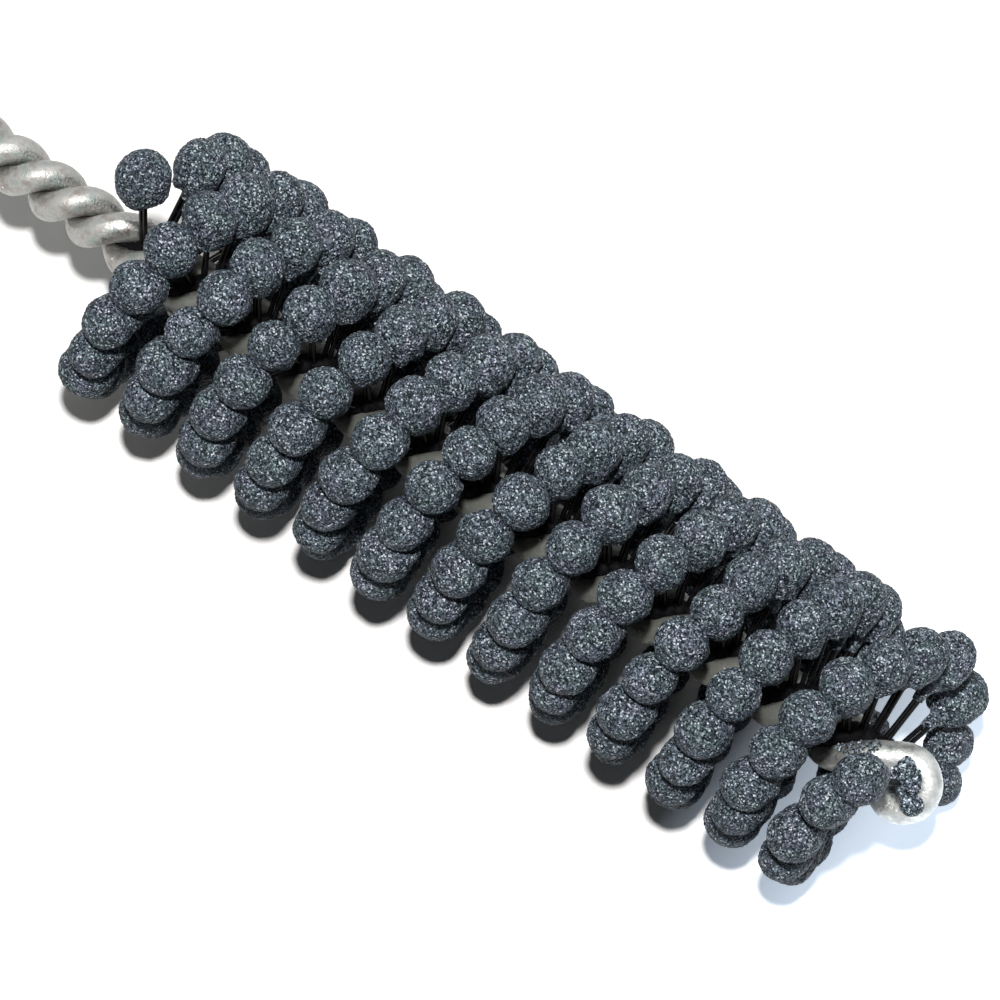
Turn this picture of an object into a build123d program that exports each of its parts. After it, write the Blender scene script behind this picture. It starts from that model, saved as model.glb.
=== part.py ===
from build123d import *

import math
import os

# Flexible ball hone, in millimetres. The stem's axis is X: its cut end is at
# x = 0 and its bent nose is at the largest x. Z is up, and the hone lies on its
# globules. Angles about the stem are measured from Y towards Z.

# Stem: one wire, folded at the nose and twisted upon itself to the left
overall_length = 203.2
wire_diameter = 2.0
shank_pitch = 6.3
brush_pitch = 9.6
strand_gap = 0.04
twist_change_length = 2.0
twist_change_lead = 1.0
nose_bend_radius = 1.7
nose_untwist_length = 1.8
nose_plane_angle = 40.7

# Brush: bundles of filament clamped between the two strands
bundle_count = 104
brush_length = 60.4
brush_setback = 3.6
filament_diameter = 0.28
filament_fit = 0.035
filaments_per_bundle = 2
filament_spacing = 0.285
stray_bundle_lead = 0.7
stray_bundle_tilt = 3.7
nose_fan_length = 2.4
nose_fan_reach = 1.0
nose_fan_turn = 13.0

# Globules: drops of abrasive dried on both ends of each bundle
hone_diameter = 20.0
globule_diameter = 3.46
globule_neck_diameter = 1.5
globule_neck_reach = 2.35
globule_gap = 0.02

wire_radius = wire_diameter / 2
shank_strand_radius = wire_radius + strand_gap / 2
brush_strand_radius = wire_radius + filament_diameter / 2 + filament_fit
globule_radius = globule_diameter / 2
globule_circle_radius = hone_diameter / 2 - globule_radius
filament_reach = globule_circle_radius - globule_neck_reach
bundle_pitch = brush_length / (bundle_count - 1)
bundles_per_row = brush_pitch / 2 / bundle_pitch

nose_apex = overall_length - wire_radius
nose_bend_start = nose_apex - nose_bend_radius
brush_end = overall_length - brush_setback
brush_twist_end = nose_bend_start - nose_untwist_length
brush_start = brush_end - brush_length
nose_fan_start = brush_end - nose_fan_length
brush_twist_start = brush_start - stray_bundle_lead - twist_change_lead
shank_twist_end = brush_twist_start - twist_change_length


def turn_rate(pitch):
    """Degrees that a left-hand twist of this pitch turns per millimetre along the stem."""
    return -360.0 / pitch


def smooth_step(share):
    return share * share * (3 - 2 * share)


def on_stem(x, radius, angle):
    """A point at this distance along the stem, this far from its axis and at this angle."""
    turn = math.radians(angle)
    return Vector(x, radius * math.cos(turn), radius * math.sin(turn))


def twist_angle(x):
    """Angle of the first strand in the brush, which the nose's plane fixes."""
    untwist = turn_rate(brush_pitch) * nose_untwist_length / 2
    return nose_plane_angle - untwist - turn_rate(brush_pitch) * (brush_twist_end - x)


def helix_tangent(radius, angle, pitch):
    turn = math.radians(angle)
    around = radius * math.radians(turn_rate(pitch))
    return Vector(1, -around * math.sin(turn), around * math.cos(turn)).normalized()


def helix_edge(x_from, x_to, radius, angle, pitch):
    """A strand's centre line over a stretch of even twist, starting at this angle."""
    line = Helix(pitch, x_to - x_from, radius, direction=(0, 0, 1), lefthand=True)
    line = line.rotate(Axis.Z, angle - 90).rotate(Axis.Y, 90).rotate(Axis.X, 180)
    return line.moved(Location((x_from, 0, 0)))


def twist_change(x_from, x_to, angle_to):
    """Where the shank's tight twist opens to the brush's twist and lets the first filaments in."""
    length = x_to - x_from
    steps = 8
    points = []
    for step in range(steps + 1):
        share = step / steps
        rate_left = turn_rate(brush_pitch) * (1 - share)
        rate_change = (turn_rate(shank_pitch) - turn_rate(brush_pitch)) * (1 - share) ** 2 / 2
        angle = angle_to - length * (rate_left + rate_change)
        radius = shank_strand_radius + (brush_strand_radius - shank_strand_radius) * smooth_step(share)
        points.append(on_stem(x_from + share * length, radius, angle))
    return points


def change_turn():
    """Degrees turned over the stretch where the twist changes."""
    return twist_change_length * (turn_rate(shank_pitch) + turn_rate(brush_pitch)) / 2


def nose_points():
    """Half of the bent nose, from the end of the twist, as the last of it fades out, to the apex."""
    steps = 3
    points = []
    for step in range(steps + 1):
        share = step / steps
        x = brush_twist_end + share * nose_untwist_length
        angle = nose_plane_angle - turn_rate(brush_pitch) * nose_untwist_length * (1 - share) ** 2 / 2
        radius = brush_strand_radius + (nose_bend_radius - brush_strand_radius) * smooth_step(share)
        points.append(on_stem(x, radius, angle))
    bend_steps = 3
    for step in range(bend_steps):
        bend = math.radians(90) * (step + 1) / bend_steps
        x = nose_bend_start + nose_bend_radius * math.sin(bend)
        points.append(on_stem(x, nose_bend_radius * math.cos(bend), nose_plane_angle))
    return points


def strand_path():
    """Centre line of half the wire: one strand, from below the cut end to the nose's apex."""
    angle_brush = twist_angle(brush_twist_start)
    angle_shank = angle_brush - change_turn()
    start = -wire_diameter
    angle_start = angle_shank - turn_rate(shank_pitch) * (shank_twist_end - start)
    angle_end = twist_angle(brush_twist_end)
    shank = helix_edge(start, shank_twist_end, shank_strand_radius, angle_start, shank_pitch)
    opening = Spline(
        twist_change(shank_twist_end, brush_twist_start, angle_brush),
        tangents=(
            helix_tangent(shank_strand_radius, angle_shank, shank_pitch),
            helix_tangent(brush_strand_radius, angle_brush, brush_pitch),
        ),
    )
    brush = helix_edge(brush_twist_start, brush_twist_end, brush_strand_radius, angle_brush, brush_pitch)
    across = on_stem(0, -1, nose_plane_angle)
    nose = Spline(
        nose_points(),
        tangents=(helix_tangent(brush_strand_radius, angle_end, brush_pitch), across),
    )
    return [shank, opening, brush, nose]


def stem_wire():
    wire = Wire(strand_path())
    section = Plane(origin=wire @ 0, z_dir=wire % 0) * Circle(wire_radius)
    half = sweep(section, path=wire)
    whole = half + half.rotate(Axis.X, 180)
    beyond_cut = 3 * wire_diameter
    offcut = Box(beyond_cut, beyond_cut, beyond_cut, align=(Align.MAX, Align.CENTER, Align.CENTER))
    return whole - offcut


def on_bundle(x, tilt=0.0):
    """A frame on the stem's axis with its Z along the bundle, square to the line between the strands."""
    return Location((x, 0, 0)) * Rotation(twist_angle(x), 0, 0) * Rotation(0, tilt, 0)


def bundle_frames():
    """The stray bundle that leans back over the shank, then the even rows, which fan out at the nose."""
    frames = [on_bundle(brush_start - stray_bundle_lead, stray_bundle_tilt)]
    for step in range(bundle_count):
        x = brush_start + step * bundle_pitch
        share = max(0.0, (x - nose_fan_start) / nose_fan_length)
        along = Location((nose_fan_reach * share**2, 0, 0))
        around = Rotation(-nose_fan_turn * smooth_step(share), 0, 0)
        frames.append(along * around * on_bundle(x))
    return frames


def filament_pair():
    """Both filaments of one bundle, side by side along the stem, reaching from globule to globule."""
    first = -(filaments_per_bundle - 1) * filament_spacing / 2
    return [
        Pos(first + place * filament_spacing, 0, 0) * Cylinder(filament_diameter / 2, 2 * filament_reach)
        for place in range(filaments_per_bundle)
    ]


def globule():
    """A round drop that draws in to a flat neck, where the filaments enter. Z points outwards."""
    neck = globule_neck_diameter / 2
    reach = math.hypot(neck, globule_neck_reach)
    touch = math.atan2(-globule_neck_reach, neck) + math.acos(globule_radius / reach)
    halfway = touch / 2 + math.pi / 4
    foot = (0, -globule_neck_reach)
    rim = (neck, -globule_neck_reach)
    shoulder = (globule_radius * math.cos(touch), globule_radius * math.sin(touch))
    flank = (globule_radius * math.cos(halfway), globule_radius * math.sin(halfway))
    tip = (0, globule_radius)
    sides = [Line(foot, rim), Line(rim, shoulder), ThreePointArc(shoulder, flank, tip), Line(tip, foot)]
    return revolve(Plane.XZ * make_face(sides), Axis.Z)


def pressed(drop):
    """A globule flattened where it meets the one before it and the one after it in its row."""
    turn = math.radians(turn_rate(brush_pitch) * bundle_pitch)
    across = -globule_circle_radius * math.sin(turn)
    inward = globule_circle_radius * (math.cos(turn) - 1)
    to_next = Vector(bundle_pitch, across, inward)
    contact = to_next * (0.5 - globule_gap / 2 / to_next.length)
    beyond = Plane(origin=contact, z_dir=to_next) * Box(
        hone_diameter, hone_diameter, hone_diameter, align=(Align.CENTER, Align.CENTER, Align.MIN)
    )
    return drop - beyond - beyond.rotate(Axis.Z, 180)


def save(name, solids):
    group = Compound(children=list(solids))
    group.label = name
    export_step(group, f"parts/{name}.step")


def main():
    os.makedirs("parts", exist_ok=True)
    export_step(stem_wire(), "parts/stem_wire.step")
    pair = filament_pair()
    lone = globule()
    touching = pressed(lone)
    nodes = {}
    for number, place in enumerate(bundle_frames()):
        row = f"{int(number / bundles_per_row) + 1:02d}"
        drop = touching if number else lone
        for filament in pair:
            nodes.setdefault(f"filaments_{row}", []).append(place * filament)
        for start, turn in (("a", 0), ("b", 180)):
            outward = place * Rotation(turn, 0, 0) * Pos(0, 0, globule_circle_radius)
            nodes.setdefault(f"globules_{start}_{row}", []).append(outward * drop)
    for name, solids in nodes.items():
        save(name, solids)


main()
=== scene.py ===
import math

import bmesh
import bpy
import numpy as np
from mathutils import Matrix, Vector


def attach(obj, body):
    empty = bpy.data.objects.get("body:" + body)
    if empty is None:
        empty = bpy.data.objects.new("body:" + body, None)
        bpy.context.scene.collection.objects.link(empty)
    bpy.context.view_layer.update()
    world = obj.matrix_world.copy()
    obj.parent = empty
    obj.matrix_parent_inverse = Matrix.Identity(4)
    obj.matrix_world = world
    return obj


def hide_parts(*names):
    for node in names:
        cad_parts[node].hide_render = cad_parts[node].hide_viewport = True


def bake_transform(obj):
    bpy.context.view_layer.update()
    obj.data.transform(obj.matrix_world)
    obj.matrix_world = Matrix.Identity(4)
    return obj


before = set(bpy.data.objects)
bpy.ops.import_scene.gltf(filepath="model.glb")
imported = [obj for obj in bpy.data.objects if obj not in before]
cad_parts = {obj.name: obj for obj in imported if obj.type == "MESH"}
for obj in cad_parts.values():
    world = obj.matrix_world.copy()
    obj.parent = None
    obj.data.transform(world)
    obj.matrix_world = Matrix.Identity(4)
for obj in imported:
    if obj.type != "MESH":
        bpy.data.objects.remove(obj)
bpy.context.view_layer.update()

# A flexible ball hone, in metres. The stem's axis is X, its nose is at the largest x, and Z is up.
# Angles are in degrees, and those about the stem are measured from Y towards Z.
MM = 0.001

# Stem and brush, as in the part's source
STEM_END = 203.2 * MM
WIRE_RADIUS = 1.0 * MM
STRAND_OFFSET = 1.175 * MM
NOSE_BEND_RADIUS = 1.7 * MM
NOSE_UNTWIST = 1.8 * MM
NOSE_ANGLE = 40.7
BRUSH_PITCH = 9.6 * MM
BUNDLE_COUNT = 104
BRUSH_LENGTH = 60.4 * MM
BRUSH_SETBACK = 3.6 * MM
STRAY_LEAD = 0.7 * MM
STRAY_TILT = 3.7
NOSE_FAN_LENGTH = 2.4 * MM
NOSE_FAN_REACH = 1.0 * MM
FILAMENT_SPACING = 0.285 * MM
HONE_RADIUS = 10.0 * MM
GLOBULE_RADIUS = 1.73 * MM
GLOBULE_NECK_REACH = 2.35 * MM

NOSE_CENTRE = STEM_END - WIRE_RADIUS - NOSE_BEND_RADIUS
BRUSH_START = STEM_END - BRUSH_SETBACK - BRUSH_LENGTH
BUNDLE_PITCH = BRUSH_LENGTH / (BUNDLE_COUNT - 1)
BUNDLES_PER_ROW = BRUSH_PITCH / 2 / BUNDLE_PITCH
GLOBULE_CIRCLE = HONE_RADIUS - GLOBULE_RADIUS

# How the globules differ from each other
SIZE_SPREAD = 0.035
PLACE_SPREAD = 0.08 * MM
SLEEVE_SHORTEST = 0.5 * MM
SLEEVE_LONGEST = 1.2 * MM

# Their surface: broad lumps, clumps of grains that are deepest where the drop is ragged, and single grains
LUMP_DEPTH = 0.03
LUMP_FREQUENCY = 2.6
LUMP_WAVES = 6
CLUMP_DEPTH = 0.014
CLUMP_FREQUENCY = 9.0
CLUMP_WAVES = 12
RAGGED_CLUMPS = 6
GRAIN_DEPTH = 0.024 * MM

# A filament with its coat of resin
COATED_RADIUS = 0.168 * MM

# How the last bundles stray from the even rows, about the stem and towards the nose, at both ends
LEAN_NUMBERS = (88, 95, 96, 97, 100, 101, 102, 103, 104)
LEAN_AROUND = {
    "a": (0.0, 0.0, -6.0, -4.0, -4.0, -7.0, -8.2, -12.8, -9.4),
    "b": (0.0, 5.9, 6.8, 7.6, 9.0, 6.0, -8.2, -12.8, -9.4),
}
LEAN_ALONG = {
    "a": (0.0, -9.0, -1.0, -3.0, -1.5, -3.7, -5.6, -5.3, -3.5),
    "b": (0.0, -2.2, -2.5, -2.8, 1.8, 3.7, 5.6, 1.8, -1.3),
}
# The last two globules of end b are smaller
LAST_NUMBER = 103
LAST_SHARE = 0.91
# The second globule of end b hangs to the right of its place and lower, as the camera sees it
HANGING_GLOBULE = (1, "b")
HANGING_RIGHT = 0.44 * MM
HANGING_DOWN = 0.36 * MM

# Camera, placed so that the stem's axis and the rows fall where the photograph shows them
PHOTO_SIZE = 1000
METRES_PER_PIXEL = 0.0647 * MM
VIEW_AZIMUTH = -51.95
VIEW_ELEVATION = 62.85
VIEW_DISTANCE = 550.0 * MM
VIEW_SCALE = 1.0036
AIM = Vector((169.4 * MM, 0.0, 0.0))
AIM_RIGHT = -1.048 * MM
AIM_UP = 0.884 * MM
SENSOR = 36.0

# Residue on the nose, at pixels of the photograph: a crust of grains, a drop, and a filling in the eye
CRUST_PIXEL = (857, 745)
CRUST_REACH = (24, 10)
CRUST_GRAINS = 320
SMALLEST_GRAIN = 0.03 * MM
LARGEST_GRAIN = 0.09 * MM
DROP_PIXEL = (911, 804)
DROP_REACH = (0.84 * MM, 0.84 * MM, 0.62 * MM)
DROP_SUNK = 0.15 * MM
DROP_LUMP = 0.05
EYE_PIXEL = (911, 771)
EYE_REACH = (1.75 * MM, 1.50 * MM, 1.0 * MM)
EYE_RAISED = 0.35 * MM
EYE_LUMP = 0.12

# Black resin in the groove between the strands: thin at the first roots, and in the brush a thick black fill
# that is mostly painted shade under the rows
GROOVE_START = BRUSH_START - 3.3 * MM
GROOVE_END = STEM_END - 4.2 * MM
GROOVE_RADII = (
    (GROOVE_START, 0.20 * MM),
    (GROOVE_START + 1.6 * MM, 0.28 * MM),
    (GROOVE_START + 3.4 * MM, 0.70 * MM),
    (STEM_END - 12 * MM, 0.74 * MM),
    (STEM_END - 7 * MM, 0.78 * MM),
)

# Floor: the hone lies on its globules
FLOOR_SIZE = 6.0
FLOOR_CLEARANCE = 0.1 * MM
FLOOR_WHITE = (1.15, 1.145, 1.14, 1.0)
FLOOR_UNSEEN = (0.13, 0.13, 0.13, 1.0)

# Light: a small lamp above that leans towards the camera, a broad weak one beside it, and a faint room
LIGHT_DISTANCE = 0.9
KEY_LEAN = 15
KEY_SIZE = 0.06
KEY_POWER = 7.9
KEY_COLOUR = (1.0, 0.985, 0.97)
FILL_LEAN = 45
FILL_SIZE = 0.5
FILL_POWER = 0.6
FILL_COLOUR = (0.97, 0.99, 1.0)
ROOM_COLOUR = (0.93, 0.97, 1.0, 1.0)
ROOM_STRENGTH = 0.03
WHITE = (1.0, 1.0, 1.0, 1.0)

rng = np.random.default_rng(7)


def rotation_about_x(angle):
    return Matrix.Rotation(math.radians(angle), 3, "X")


def twist_angle(x):
    """Angle of the first strand in the brush at this distance along the stem."""
    turned = 360.0 / BRUSH_PITCH
    return NOSE_ANGLE + turned * NOSE_UNTWIST / 2 + turned * (NOSE_CENTRE - NOSE_UNTWIST - x)


def bundles():
    """Each half bundle: its number, which end it is, its foot on the axis, and the way it points."""
    places = [(BRUSH_START - STRAY_LEAD, STRAY_TILT)]
    places += [(BRUSH_START + step * BUNDLE_PITCH, 0.0) for step in range(BUNDLE_COUNT)]
    fan_start = STEM_END - BRUSH_SETBACK - NOSE_FAN_LENGTH
    for number, (x, tilt) in enumerate(places):
        share = max(0.0, (x - fan_start) / NOSE_FAN_LENGTH)
        foot = Vector((x + NOSE_FAN_REACH * share**2, 0, 0))
        for end, side in (("a", 1), ("b", -1)):
            around = twist_angle(x) + float(np.interp(number, LEAN_NUMBERS, LEAN_AROUND[end]))
            along = tilt + side * float(np.interp(number, LEAN_NUMBERS, LEAN_ALONG[end]))
            turn = rotation_about_x(around) @ Matrix.Rotation(math.radians(along), 3, "Y")
            yield number, end, foot, turn @ Vector((0, 0, side))


# Shapes


def ball_template(subdivisions):
    """Points and triangles of an even ball of radius 1."""
    bm = bmesh.new()
    bmesh.ops.create_icosphere(bm, subdivisions=subdivisions, radius=1.0)
    points = np.array([v.co for v in bm.verts])
    faces = np.array([[v.index for v in f.verts] for f in bm.faces])
    bm.free()
    return points, faces


def waves(directions, frequency, count):
    """A smooth random field over the ball's directions, about 1 high."""
    total = np.zeros(len(directions))
    for _ in range(count):
        way = rng.normal(size=3)
        way *= frequency / np.linalg.norm(way)
        total += np.cos(directions @ way + rng.uniform(0, 2 * math.pi))
    return total / math.sqrt(count)


def drop_profile(theta, radius, sleeve):
    """Distance from the drop's own axis, and height along it, at each angle from its outer tip."""
    neck_radius = 0.46 * MM
    end_radius = 0.36 * MM
    neck_angle = math.radians(163)
    tip_fullness = 0.96
    flank_fullness = 0.83
    narrowing = 1.6
    lengthening = 1.4
    closed_share = 0.999
    upper = theta < math.pi / 2
    fullness = np.where(upper, tip_fullness, flank_fullness)
    across = radius * np.abs(np.sin(theta)) ** fullness
    reach = np.where(upper, radius, GLOBULE_NECK_REACH)
    height = reach * np.sign(np.cos(theta)) * np.abs(np.cos(theta)) ** fullness
    share = np.clip((theta - neck_angle) / (math.pi - neck_angle), 0, 1)
    on_neck = theta > neck_angle
    sleeve_across = neck_radius + (end_radius - neck_radius) * np.minimum(share * narrowing, 1)
    sleeve_across *= np.where(share > closed_share, 0, 1)
    sleeve_height = -GLOBULE_NECK_REACH - sleeve * np.minimum(share * lengthening, 1)
    across = np.where(on_neck, sleeve_across, across)
    height = np.where(on_neck, sleeve_height, height)
    return across, height


def axes_with_z(way):
    """A frame whose third axis is way."""
    return np.array(way.to_track_quat("Z", "Y").to_matrix())


def gritty_drop(template, centre, way, radius, sleeve):
    """One globule: a lumpy egg that ends in a short ragged sleeve along its filaments."""
    ragged_from = 0.2
    directions, faces = template
    theta = np.arccos(np.clip(directions[:, 2], -1, 1))
    around = np.arctan2(directions[:, 1], directions[:, 0])
    across, height = drop_profile(theta, radius, sleeve)
    ragged = np.clip(-directions[:, 2] - ragged_from, 0, 1)
    lumps = 1 + LUMP_DEPTH * waves(directions, LUMP_FREQUENCY, LUMP_WAVES)
    clump_depth = CLUMP_DEPTH * (1 + RAGGED_CLUMPS * ragged)
    lumps += clump_depth * waves(directions, CLUMP_FREQUENCY, CLUMP_WAVES)
    shape = np.stack([across * np.cos(around), across * np.sin(around), height], 1)
    shape *= lumps[:, None]
    grains = rng.normal(0, GRAIN_DEPTH, (len(directions), 1))
    shape += directions * grains.clip(-2 * GRAIN_DEPTH, 2 * GRAIN_DEPTH)
    return shape @ axes_with_z(way).T + np.array(centre), faces


def crumb(template, place, radius):
    """One loose grain, squeezed and rough."""
    least_squeeze = 0.7
    most_squeeze = 1.2
    roughness = 0.25
    limit = 1.5
    directions, faces = template
    squeeze = rng.uniform(least_squeeze, most_squeeze, 3)
    rough = 1 + roughness * rng.normal(size=(len(directions), 1)).clip(-limit, limit)
    return directions * squeeze * radius * rough + np.array(place), faces


def blob(template, place, turn, reach, lump):
    """A lumpy, gritty drop with this reach along each axis of its turned frame."""
    frequency = 3.0
    clump_share = 0.5
    roughness = 0.025
    limit = 2
    directions, faces = template
    lumps = 1 + lump * waves(directions, frequency, LUMP_WAVES)
    lumps += clump_share * lump * waves(directions, CLUMP_FREQUENCY, CLUMP_WAVES)
    lumps += roughness * rng.normal(size=len(directions)).clip(-limit, limit)
    shape = directions * lumps[:, None] * np.array(reach)
    return shape @ np.array(turn).T + np.array(place), faces


def tube(points, radius, sides):
    """A closed round tube along points, as mesh points and faces. Its radius may be one for each point."""
    spine = np.array(points)
    ways = np.gradient(spine, axis=0)
    ways /= np.linalg.norm(ways, axis=1)[:, None]
    side = np.cross(ways, (1.0, 0.0, 0.0))
    side /= np.linalg.norm(side, axis=1)[:, None]
    other = np.cross(ways, side)
    angles = np.linspace(0, 2 * math.pi, sides, endpoint=False)
    ring = np.cos(angles)[None, :, None] * side[:, None] + np.sin(angles)[None, :, None] * other[:, None]
    shell = (spine[:, None] + np.reshape(radius, (-1, 1, 1)) * ring).reshape(-1, 3)
    faces = []
    for row in range(len(points) - 1):
        for k in range(sides):
            a = row * sides + k
            b = row * sides + (k + 1) % sides
            faces.append((a, b, b + sides))
            faces.append((a, b + sides, a + sides))
    last = (len(points) - 1) * sides
    for k in range(1, sides - 1):
        faces.append((0, k + 1, k))
        faces.append((last, last + k, last + k + 1))
    return shell, np.array(faces)


def new_piece(name, parts, material, smooth=False):
    """A mesh object made of several closed shapes, each given as points and faces."""
    offset = 0
    points = []
    faces = []
    for part_points, part_faces in parts:
        points.append(part_points)
        faces.append(part_faces + offset)
        offset += len(part_points)
    mesh = bpy.data.meshes.new(name)
    mesh.from_pydata(np.concatenate(points).tolist(), [], np.concatenate(faces).tolist())
    if smooth:
        mesh.shade_smooth()
    mesh.materials.append(material)
    piece = bpy.data.objects.new(name, mesh)
    bpy.context.scene.collection.objects.link(piece)
    return piece


# Camera


def camera_axes():
    """The camera's right, its up, and the way from what it looks at back to it."""
    azimuth = math.radians(VIEW_AZIMUTH)
    elevation = math.radians(VIEW_ELEVATION)
    level = math.cos(elevation)
    back = Vector((level * math.cos(azimuth), level * math.sin(azimuth), math.sin(elevation)))
    right = Vector((-math.sin(azimuth), math.cos(azimuth), 0.0))
    return right, back.cross(right), back


def camera_place():
    right, up, back = camera_axes()
    return AIM + right * AIM_RIGHT + up * AIM_UP + back * VIEW_DISTANCE


def focal_pixels():
    """The camera's focal length, in pixels of the photograph."""
    return VIEW_SCALE * VIEW_DISTANCE / METRES_PER_PIXEL


def make_camera():
    data = bpy.data.cameras.new("camera")
    data.sensor_width = SENSOR
    data.lens = SENSOR * focal_pixels() / PHOTO_SIZE
    data.clip_start = 10 * MM
    data.clip_end = 20.0
    camera = bpy.data.objects.new("camera", data)
    turn = Matrix(camera_axes()).transposed().to_4x4()
    camera.matrix_world = Matrix.Translation(camera_place()) @ turn
    bpy.context.scene.collection.objects.link(camera)
    bpy.context.scene.camera = camera


def sight_line(pixel):
    """The way the camera looks through a pixel of the photograph."""
    right, up, back = camera_axes()
    across = (pixel[0] - PHOTO_SIZE / 2) / focal_pixels()
    down = (pixel[1] - PHOTO_SIZE / 2) / focal_pixels()
    return (right * across - up * down - back).normalized()


def stem_at_pixel(pixel):
    """Where the line of sight through a pixel of the photograph meets the stem, and the normal there."""
    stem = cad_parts["stem_wire"]
    hit, place, normal, _ = stem.ray_cast(camera_place(), sight_line(pixel))
    return (place, normal) if hit else None


def on_nose_plane(pixel):
    """Where the line of sight through a pixel of the photograph meets the plane of the bent nose."""
    way = sight_line(pixel)
    normal = rotation_about_x(NOSE_ANGLE) @ Vector((0, 0, 1))
    place = camera_place()
    return place - way * (place.dot(normal) / way.dot(normal))


# Nodes of materials

# A mix node's two colours, and the colour that it gives, go by number: its other sockets share their names
MIX_FIRST = 6
MIX_SECOND = 7
MIX_COLOUR = 2


def new_material(name):
    material = bpy.data.materials.new(name)
    material.use_nodes = True
    tree = material.node_tree
    return material, tree, tree.nodes["Principled BSDF"]


def add(tree, kind, **values):
    node = tree.nodes.new(kind)
    for key, value in values.items():
        setattr(node, key, value)
    return node


def object_texture(tree, kind, width):
    """A texture on the piece's own coordinates, its pattern this many metres wide."""
    place = add(tree, "ShaderNodeTexCoord")
    node = add(tree, kind)
    node.inputs["Scale"].default_value = 1 / width
    tree.links.new(place.outputs["Object"], node.inputs["Vector"])
    return node


def ramp(tree, source, stops):
    """A colour for each value of the source, between stops of a value and a colour."""
    node = add(tree, "ShaderNodeValToRGB")
    while len(node.color_ramp.elements) < len(stops):
        node.color_ramp.elements.new(1.0)
    for element, (position, colour) in zip(node.color_ramp.elements, stops):
        element.position = position
        element.color = (*colour, 1.0)
    tree.links.new(source, node.inputs["Fac"])
    return node.outputs["Color"]


def spread(tree, source, low, high, from_low=0.0, from_high=1.0):
    """A value that goes from low to high as the source goes from from_low to from_high."""
    node = add(tree, "ShaderNodeMapRange")
    node.inputs["From Min"].default_value = from_low
    node.inputs["From Max"].default_value = from_high
    node.inputs["To Min"].default_value = low
    node.inputs["To Max"].default_value = high
    tree.links.new(source, node.inputs["Value"])
    return node.outputs["Result"]


def mixed(tree, factor, first, second, blend="MIX"):
    """Two colours mixed. Each value may be fixed or come from a node."""
    node = add(tree, "ShaderNodeMix", data_type="RGBA", blend_type=blend)
    sockets = (node.inputs["Factor"], node.inputs[MIX_FIRST], node.inputs[MIX_SECOND])
    for socket, value in zip(sockets, (factor, first, second)):
        if isinstance(value, bpy.types.NodeSocket):
            tree.links.new(value, socket)
        else:
            socket.default_value = value
    return node.outputs[MIX_COLOUR]


def product(tree, first, second):
    node = add(tree, "ShaderNodeMath", operation="MULTIPLY")
    tree.links.new(first, node.inputs[0])
    tree.links.new(second, node.inputs[1])
    return node.outputs[0]


def bumped(tree, shader, height, distance, strength):
    node = add(tree, "ShaderNodeBump")
    node.inputs["Distance"].default_value = distance
    node.inputs["Strength"].default_value = strength
    tree.links.new(height, node.inputs["Height"])
    tree.links.new(node.outputs["Normal"], shader.inputs["Normal"])


def along_stem(tree, low, high, from_x, to_x):
    """A value that changes from low to high between two places along the stem."""
    place = add(tree, "ShaderNodeTexCoord")
    along = add(tree, "ShaderNodeSeparateXYZ")
    tree.links.new(place.outputs["Object"], along.inputs["Vector"])
    return spread(tree, along.outputs["X"], low, high, from_x, to_x)


def cell_tones(tree, cells):
    """Three random tones, named Red, Green and Blue, for each cell of a texture of cells."""
    tones = add(tree, "ShaderNodeSeparateColor")
    tree.links.new(cells.outputs["Color"], tones.inputs["Color"])
    return tones.outputs


def glints(tree, width, rarity, inner, outer):
    """Painted glints: 1 in the middle of the few cells whose tone is above rarity. It falls to 0 from inner
    to outer.
    """
    edge = 0.01
    cells = object_texture(tree, "ShaderNodeTexVoronoi", width)
    chosen = spread(tree, cell_tones(tree, cells)["Red"], 0.0, 1.0, rarity, rarity + edge)
    middle = spread(tree, cells.outputs["Distance"], 1.0, 0.0, inner, outer)
    return product(tree, chosen, middle)


def seen_directly(tree):
    """1 for the rays whose background should be white: the camera's, and those by way of metal or glass."""
    path = add(tree, "ShaderNodeLightPath")
    seen = path.outputs["Is Camera Ray"]
    for name in ("Is Glossy Ray", "Is Transmission Ray"):
        either = add(tree, "ShaderNodeMath", operation="MAXIMUM")
        tree.links.new(seen, either.inputs[0])
        tree.links.new(path.outputs[name], either.inputs[1])
        seen = either.outputs[0]
    return seen


# Materials


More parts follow.
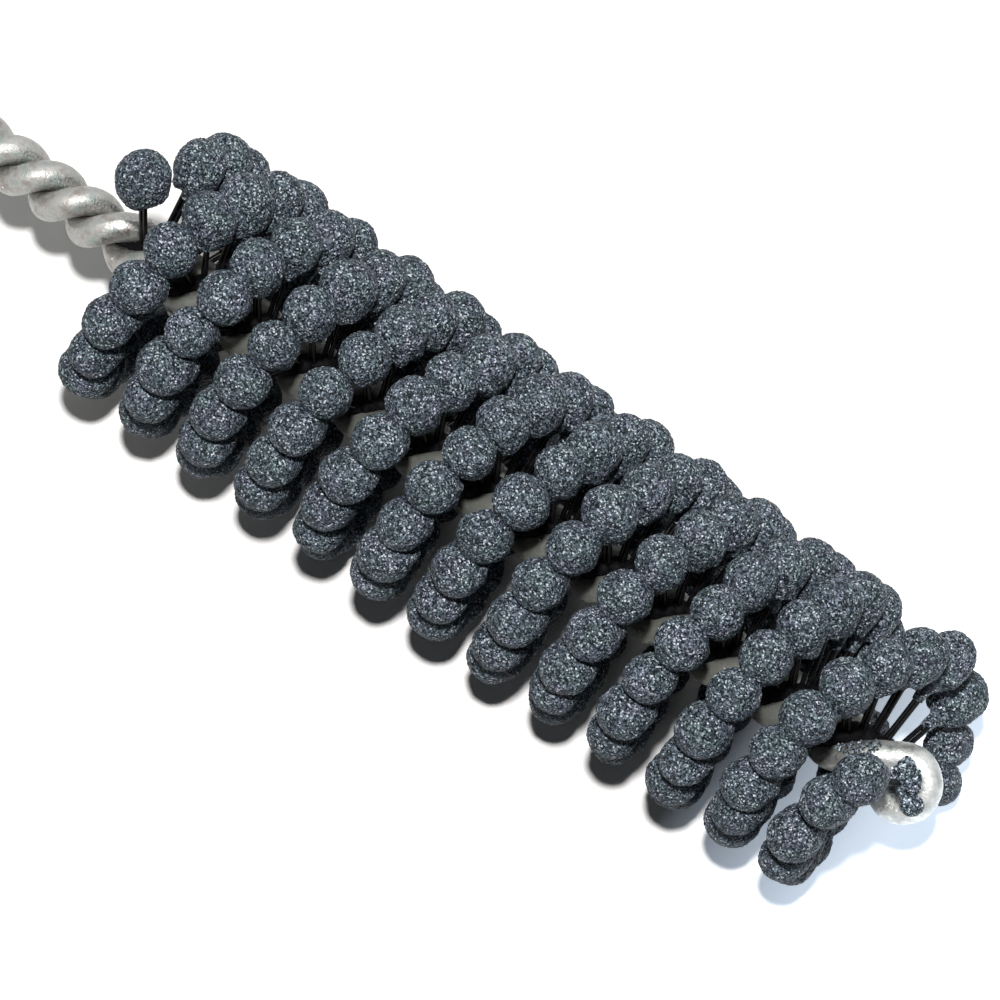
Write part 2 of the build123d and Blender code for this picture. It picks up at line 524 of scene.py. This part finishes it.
def abrasive_material(name, pale):
    """Dark blue-grey grit in resin: every grain has its own tone, and the brightest grains and a few nearly
    white spots are painted glints.

    Its colours are brighter by the factor pale, because loose dust is paler than grit in resin.
    """
    grain_width = 0.10 * MM
    grain_height = 0.05 * MM
    glint_facet_width = 0.17 * MM
    painted_glint_colour = (0.88, 0.92, 0.95, 1.0)
    cloud_width = 1.6 * MM
    green = (0.91 * pale, 0.98 * pale, 0.95 * pale)
    blue = (0.96 * pale, 0.98 * pale, 1.01 * pale)
    purple = (1.04 * pale, 0.98 * pale, 1.06 * pale)
    # The darker stops are the grains' own tones, and the brightest stops are painted glints.
    grain_and_glint_colours = [
        (0.0, (0.002, 0.003, 0.004)),
        (0.28, (0.016, 0.023, 0.029)),
        (0.52, (0.072, 0.093, 0.112)),
        (0.76, (0.148, 0.185, 0.219)),
        (0.91, (0.31, 0.37, 0.43)),
        (1.0, (0.82, 0.90, 0.95)),
    ]
    material, tree, shader = new_material(name)
    grains = object_texture(tree, "ShaderNodeTexVoronoi", grain_width)
    tones = cell_tones(tree, grains)
    colour = ramp(tree, tones["Red"], grain_and_glint_colours)
    # Painted glints: nearly white spots in the middle of a few facets.
    painted_facet_glints = glints(tree, glint_facet_width, rarity=0.955, inner=0.30, outer=0.45)
    glinting = mixed(tree, painted_facet_glints, colour, painted_glint_colour)
    clouds = object_texture(tree, "ShaderNodeTexNoise", cloud_width)
    tint = ramp(tree, clouds.outputs["Fac"], [(0.35, green), (0.50, blue), (0.65, purple)])
    tree.links.new(mixed(tree, 1.0, glinting, tint, "MULTIPLY"), shader.inputs["Base Color"])
    tree.links.new(spread(tree, tones["Green"], 0.35, 0.80), shader.inputs["Roughness"])
    bumped(tree, shader, grains.outputs["Distance"], grain_height, strength=0.35)
    shader.inputs["Specular IOR Level"].default_value = 0.15
    return material


def black_material(name, scuffed, smooth, sheen):
    """Black nylon, and black resin that is mostly painted shade in the brush's groove. Its roughness is
    scuffed in some patches and smooth in others.
    """
    scuff_width = 0.35 * MM
    scuff_height = 0.01 * MM
    scuff_colours = [(0.35, (0.0025, 0.0025, 0.003)), (0.75, (0.010, 0.010, 0.012))]
    material, tree, shader = new_material(name)
    scuffs = object_texture(tree, "ShaderNodeTexNoise", scuff_width)
    tree.links.new(ramp(tree, scuffs.outputs["Fac"], scuff_colours), shader.inputs["Base Color"])
    tree.links.new(spread(tree, scuffs.outputs["Fac"], smooth, scuffed), shader.inputs["Roughness"])
    bumped(tree, shader, scuffs.outputs["Fac"], scuff_height, strength=0.3)
    shader.inputs["Specular IOR Level"].default_value = sheen
    return material


def galvanised_material():
    """Zinc-coated wire: satin, clouded warm and cool, dusty in the brush, and paler at the nose as a painted
    highlight.
    """
    cloud_width = 0.9 * MM
    patch_width = 0.8 * MM
    # Painted glints: a few nearly white specks on the zinc.
    glint_speck_width = 0.3 * MM
    glint_speck_colour = (0.95, 0.95, 0.95, 1.0)
    dust_colour = (0.19, 0.20, 0.175, 1.0)
    fine_width = 0.16 * MM
    fine_height = 0.03 * MM
    worn_colours = [
        (0.32, (0.30, 0.28, 0.26)),
        (0.50, (0.42, 0.415, 0.40)),
        (0.68, (0.33, 0.365, 0.35)),
    ]
    # Paler zinc at the nose: a painted highlight for its broad bright reflection.
    nose_highlight_colours = [(0.35, (0.37, 0.39, 0.375)), (0.62, (0.58, 0.595, 0.585))]
    nose_highlight_from = STEM_END - 7 * MM
    nose_highlight_by = STEM_END - 4 * MM
    dust_from = BRUSH_START - 1 * MM
    dusty_by = BRUSH_START + 3 * MM
    dusty_until = STEM_END - 8 * MM
    dust_ends = STEM_END - 6 * MM
    material, tree, shader = new_material("galvanised_wire")

    clouds = object_texture(tree, "ShaderNodeTexNoise", cloud_width)
    worn = ramp(tree, clouds.outputs["Fac"], worn_colours)
    nose_zinc_with_highlight = ramp(tree, clouds.outputs["Fac"], nose_highlight_colours)
    at_nose = along_stem(tree, 0.0, 1.0, nose_highlight_from, nose_highlight_by)
    zinc = mixed(tree, at_nose, worn, nose_zinc_with_highlight)

    in_brush = along_stem(tree, 0.0, 1.0, dust_from, dusty_by)
    before_nose = along_stem(tree, 1.0, 0.0, dusty_until, dust_ends)
    patches = object_texture(tree, "ShaderNodeTexNoise", patch_width)
    dusty = spread(tree, patches.outputs["Fac"], 0.65, 1.0, 0.40, 0.55)
    dust = product(tree, product(tree, in_brush, before_nose), dusty)
    dusted = mixed(tree, dust, zinc, dust_colour)

    # Painted glints, mixed into the zinc as nearly white specks.
    painted_glint_specks = glints(tree, glint_speck_width, rarity=0.965, inner=0.20, outer=0.32)
    tree.links.new(mixed(tree, painted_glint_specks, dusted, glint_speck_colour), shader.inputs["Base Color"])
    fine = object_texture(tree, "ShaderNodeTexNoise", fine_width)
    tree.links.new(spread(tree, fine.outputs["Fac"], 0.34, 0.66, 0.35, 0.65), shader.inputs["Roughness"])
    bumped(tree, shader, fine.outputs["Fac"], fine_height, strength=0.9)
    bare_metal = add(tree, "ShaderNodeMath", operation="SUBTRACT")
    bare_metal.inputs[0].default_value = 1.0
    tree.links.new(spread(tree, dust, 0.0, 0.75), bare_metal.inputs[1])
    tree.links.new(bare_metal.outputs[0], shader.inputs["Metallic"])
    return material


def floor_material():
    """Matt paper that looks white where it is lit.

    Its shadows are lifted by a painted glow that only the camera and reflections see: a little under the
    shank, most and pale blue at the nose, and not away from the hone.
    """
    lift_reach = 40 * MM
    fade_from = 60 * MM
    fade_to = 140 * MM
    # Painted light: the glow's colour along the stem, which lifts the floor's shadows.
    painted_shadow_lifts = [
        (0.0, (0.09, 0.089, 0.083)),
        (0.17, (0.05, 0.049, 0.046)),
        (0.36, (0.006, 0.006, 0.006)),
        (0.72, (0.006, 0.006, 0.006)),
        (0.88, (0.65, 0.755, 0.89)),
    ]
    material = bpy.data.materials.new("floor_paper")
    material.use_nodes = True
    tree = material.node_tree
    tree.nodes.clear()
    seen = seen_directly(tree)
    paper = add(tree, "ShaderNodeBsdfDiffuse")
    tree.links.new(mixed(tree, seen, FLOOR_UNSEEN, FLOOR_WHITE), paper.inputs["Color"])
    painted_lift = ramp(tree, along_stem(tree, 0.0, 1.0, -lift_reach, lift_reach), painted_shadow_lifts)
    place = add(tree, "ShaderNodeTexCoord")
    away = add(tree, "ShaderNodeVectorMath", operation="LENGTH")
    tree.links.new(place.outputs["Object"], away.inputs[0])
    near = spread(tree, away.outputs["Value"], 1.0, 0.0, fade_from, fade_to)
    painted_glow = add(tree, "ShaderNodeEmission")
    tree.links.new(painted_lift, painted_glow.inputs["Color"])
    tree.links.new(product(tree, seen, near), painted_glow.inputs["Strength"])
    both = add(tree, "ShaderNodeAddShader")
    tree.links.new(paper.outputs[0], both.inputs[0])
    tree.links.new(painted_glow.outputs[0], both.inputs[1])
    out = add(tree, "ShaderNodeOutputMaterial")
    tree.links.new(both.outputs[0], out.inputs["Surface"])
    return material


# Globules and filaments


def row_of(number):
    """The number, in the nodes' names, of the half turn that this bundle belongs to."""
    return int(number / BUNDLES_PER_ROW) + 1


def placed_globules():
    """Each globule: its bundle's number, end and foot, and its centre, a little off the even rows."""
    right, up, _ = camera_axes()
    placed = []
    for number, end, foot, way in bundles():
        shift = Vector(rng.normal(0, PLACE_SPREAD, 3))
        if (number, end) == HANGING_GLOBULE:
            shift += right * HANGING_RIGHT - up * HANGING_DOWN
        centre = foot + way * GLOBULE_CIRCLE + shift
        placed.append((number, end, foot, centre))
    return placed


def make_globules(placed, material):
    template = ball_template(subdivisions=5)
    groups = {}
    for number, end, foot, centre in placed:
        radius = GLOBULE_RADIUS * (1 + rng.normal(0, SIZE_SPREAD))
        if end == "b" and number >= LAST_NUMBER:
            radius *= LAST_SHARE
        sleeve = rng.uniform(SLEEVE_SHORTEST, SLEEVE_LONGEST)
        drop = gritty_drop(template, centre, (centre - foot).normalized(), radius, sleeve)
        groups.setdefault((end, row_of(number)), []).append(drop)
    for (end, row), drops in groups.items():
        node = f"globules_{end}_{row:02d}"
        piece = new_piece(f"grit_{end}_{row:02d}", drops, material)
        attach(piece, "globules")
        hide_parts(node)


def filament(foot, centre, side):
    """One filament, from between the strands into its globule, with a slight bow."""
    inside = 1.0 * MM
    root = FILAMENT_SPACING / 2
    tip = 0.16 * MM
    bow_spread = 0.05 * MM
    steps = 10
    sides = 10
    start = foot + Vector((root * side, 0, 0))
    end = centre + (foot - centre).normalized() * inside + Vector((tip * side, 0, 0))
    bow = Vector(rng.normal(0, bow_spread, 3))
    points = []
    for step in range(steps + 1):
        share = step / steps
        points.append(start.lerp(end, share) + bow * math.sin(share * math.pi))
    return tube(points, COATED_RADIUS, sides)


def make_filaments(placed, material):
    """Filaments in combs of one direction each."""
    combs = 15
    nodes = sorted(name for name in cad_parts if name.startswith("filaments_"))
    groups = {}
    for _, _, foot, centre in placed:
        angle = math.degrees(math.atan2(centre.z, centre.y)) % 360
        comb = int(angle / 360 * combs)
        for side in (-1, 1):
            groups.setdefault(comb, []).append(filament(foot, centre, side))
    for comb, tubes in sorted(groups.items()):
        piece = new_piece(f"filament_comb_{comb + 1:02d}", tubes, material, smooth=True)
        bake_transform(piece)
        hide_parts(*nodes)


# Stem and the residue on it


def dress_stem(material):
    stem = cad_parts["stem_wire"]
    for slot in stem.material_slots:
        slot.material = material


def crumbs_on_stem():
    """Loose grains where lines of sight near the crust's pixel meet the stem."""
    template = ball_template(subdivisions=2)
    crumbs = []
    for _ in range(CRUST_GRAINS):
        turn = rng.uniform(0, 2 * math.pi)
        away = math.sqrt(rng.uniform(0, 1))
        right = CRUST_REACH[0] * away * math.cos(turn)
        down = CRUST_REACH[1] * away * math.sin(turn)
        found = stem_at_pixel((CRUST_PIXEL[0] + right, CRUST_PIXEL[1] + down))
        if found:
            crumbs.append(crumb(template, found[0], rng.uniform(SMALLEST_GRAIN, LARGEST_GRAIN)))
    return crumbs


def groove_fillet(side):
    """Resin that ran down the filaments into the groove between the strands, which in the brush is mostly
    painted shade.

    It starts thin over the shank, whose tighter twist it follows, and is thick and uneven in the brush.
    The extra twist is in degrees for each square millimetre before the brush.
    """
    step = 0.12 * MM
    sides = 16
    wave_lengths = (0.6 * MM, 0.9 * MM, 1.4 * MM, 2.3 * MM, 3.7 * MM)
    wave_depth = 0.035
    shank_twist_until = BRUSH_START - 1.7 * MM
    extra_twist = 4.9
    seated_share = 0.85
    least_reach = 0.1 * MM
    places = np.arange(GROOVE_START, GROOVE_END, step)
    waviness = np.zeros(len(places))
    for length in wave_lengths:
        waviness += np.cos(places * 2 * math.pi / length + rng.uniform(0, 2 * math.pi))
    stops, radii = zip(*GROOVE_RADII)
    radius = np.interp(places, stops, radii) * (1 + wave_depth * waviness)
    points = []
    for x, thickness in zip(places, radius):
        before_brush = max(0.0, shank_twist_until - x) / MM
        turn = rotation_about_x(twist_angle(x) + extra_twist * before_brush**2)
        touching = (WIRE_RADIUS + seated_share * thickness) ** 2 - STRAND_OFFSET**2
        reach = math.sqrt(max(touching, least_reach**2))
        points.append(Vector((x, 0, 0)) + turn @ Vector((0, 0, side)) * reach)
    return tube(points, radius, sides)


def make_residue(dusty, black):
    """A crust and a drop of dust on the nose, a filling in its eye, and black resin in the groove, mostly
    painted shade in the brush.
    """
    crust = new_piece("nose_crust", crumbs_on_stem(), dusty)

    template = ball_template(subdivisions=4)
    place, normal = stem_at_pixel(DROP_PIXEL)
    ball = blob(template, place - normal * DROP_SUNK, axes_with_z(normal), DROP_REACH, DROP_LUMP)
    drop = new_piece("nose_drop", [ball], dusty)

    plane = rotation_about_x(NOSE_ANGLE)
    place = on_nose_plane(EYE_PIXEL) + plane @ Vector((0, 0, EYE_RAISED))
    filling = new_piece("eye_residue", [blob(template, place, plane, EYE_REACH, EYE_LUMP)], dusty)

    # The groove's black fill: resin at the roots, and mostly painted shade in the brush.
    groove = new_piece("groove_resin_and_painted_shade", [groove_fillet(1), groove_fillet(-1)], black, smooth=True)

    for piece, slot in ((crust, "abrasive"), (drop, "abrasive"), (filling, "abrasive"), (groove, "nylon")):
        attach(piece, "stem")


# Floor and light


def make_floor():
    bm = bmesh.new()
    bmesh.ops.create_grid(bm, x_segments=8, y_segments=8, size=FLOOR_SIZE / 2)
    mesh = bpy.data.meshes.new("floor")
    bm.to_mesh(mesh)
    bm.free()
    mesh.materials.append(floor_material())
    floor = bpy.data.objects.new("floor", mesh)
    bpy.context.scene.collection.objects.link(floor)
    floor.location = (AIM.x, 0, -HONE_RADIUS - FLOOR_CLEARANCE)


def make_light(name, lean, towards, size, power, colour):
    """A round lamp above the hone that leans this far towards a level way."""
    data = bpy.data.lights.new(name, "AREA")
    data.shape = "DISK"
    data.size = size
    data.energy = power
    data.color = colour
    lamp = bpy.data.objects.new(name, data)
    tilt = math.radians(lean)
    way = (Vector((0, 0, math.cos(tilt))) + towards * math.sin(tilt)).normalized()
    lamp.location = AIM + way * LIGHT_DISTANCE
    lamp.rotation_mode = "QUATERNION"
    lamp.rotation_quaternion = way.to_track_quat("Z", "Y")
    bpy.context.scene.collection.objects.link(lamp)


def make_lights():
    back = camera_axes()[2]
    to_camera = Vector((back.x, back.y, 0)).normalized()
    across = Vector((0.0, 1.0, 0.0))
    make_light("key", KEY_LEAN, to_camera, KEY_SIZE, KEY_POWER, KEY_COLOUR)
    make_light("fill", FILL_LEAN, across, FILL_SIZE, FILL_POWER, FILL_COLOUR)


def make_world():
    world = bpy.data.worlds.new("studio")
    world.use_nodes = True
    tree = world.node_tree
    tree.nodes.clear()
    room = add(tree, "ShaderNodeBackground")
    room.inputs["Color"].default_value = ROOM_COLOUR
    room.inputs["Strength"].default_value = ROOM_STRENGTH
    white = add(tree, "ShaderNodeBackground")
    white.inputs["Color"].default_value = WHITE
    both = add(tree, "ShaderNodeMixShader")
    tree.links.new(seen_directly(tree), both.inputs["Fac"])
    tree.links.new(room.outputs[0], both.inputs[1])
    tree.links.new(white.outputs[0], both.inputs[2])
    out = add(tree, "ShaderNodeOutputWorld")
    tree.links.new(both.outputs[0], out.inputs["Surface"])
    bpy.context.scene.world = world


make_camera()
make_floor()
make_lights()
make_world()
grit = abrasive_material("abrasive_grit", pale=1.0)
nylon = black_material("black_nylon", scuffed=0.32, smooth=0.10, sheen=0.13)
dust = abrasive_material("abrasive_dust", pale=1.3)
# Black for the groove's fill, which is mostly painted shade in the brush.
resin_and_shade = black_material("black_resin_and_painted_shade", scuffed=0.75, smooth=0.45, sheen=0.05)
globule_places = placed_globules()
make_globules(globule_places, grit)
make_filaments(globule_places, nylon)
make_residue(dust, resin_and_shade)
dress_stem(galvanised_material())
bpy.context.scene.view_settings.view_transform = "Standard"
